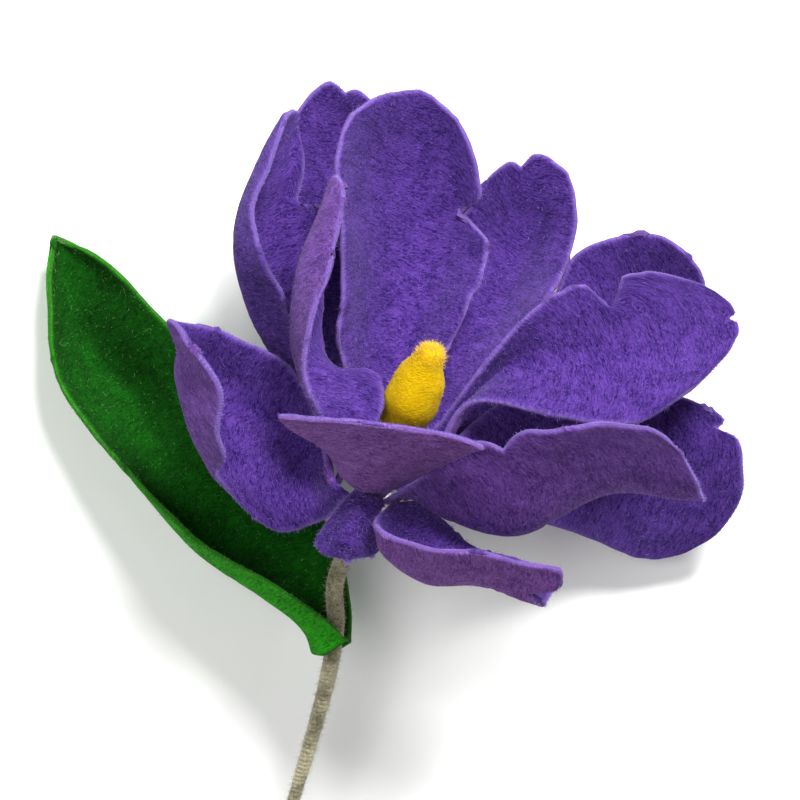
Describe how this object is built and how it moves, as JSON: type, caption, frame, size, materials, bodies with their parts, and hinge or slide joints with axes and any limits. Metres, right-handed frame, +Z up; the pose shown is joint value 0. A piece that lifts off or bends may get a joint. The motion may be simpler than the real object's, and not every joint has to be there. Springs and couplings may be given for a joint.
{
  "type": "felt tulip stem",
  "caption": "Handmade wool-felt tulip with open cupped petals, a yellow bud centre, one folded green leaf and a yarn-wrapped wire stem, lying on a surface.",
  "frame": {"origin": "middle of the object's footprint, on the surface it lies on", "axes": "+Z up from the surface; +Y along the stem towards the flower, the longest extent; +X to the flower's right, seen from above"},
  "size_m": [0.1992, 0.3036, 0.0995],
  "materials": {
    "purple_felt": "matte felt",
    "green_felt": "matte felt",
    "yellow_wool": "felted wool",
    "brown_yarn": "fuzzy yarn",
    "set_glue": "translucent hot glue",
    "steel_wire": "bare wire"
  },
  "bodies": {
    "root": {"petal_inner_right_front": "purple_felt", "petal_inner_front": "purple_felt", "petal_inner_left": "purple_felt", "petal_inner_back": "purple_felt", "petal_inner_right": "purple_felt", "petal_outer_right": "purple_felt", "petal_outer_right_front": "purple_felt", "petal_outer_front": "purple_felt", "petal_outer_left_front": "purple_felt", "petal_outer_left": "purple_felt", "petal_outer_back_left": "purple_felt", "petal_outer_back": "purple_felt", "petal_outer_back_right": "purple_felt", "leaf": "green_felt", "stem_wrap": "brown_yarn", "stem_wire": "steel_wire", "glue_base": "set_glue", "pistil": "yellow_wool"}
  },
  "joints": []
}
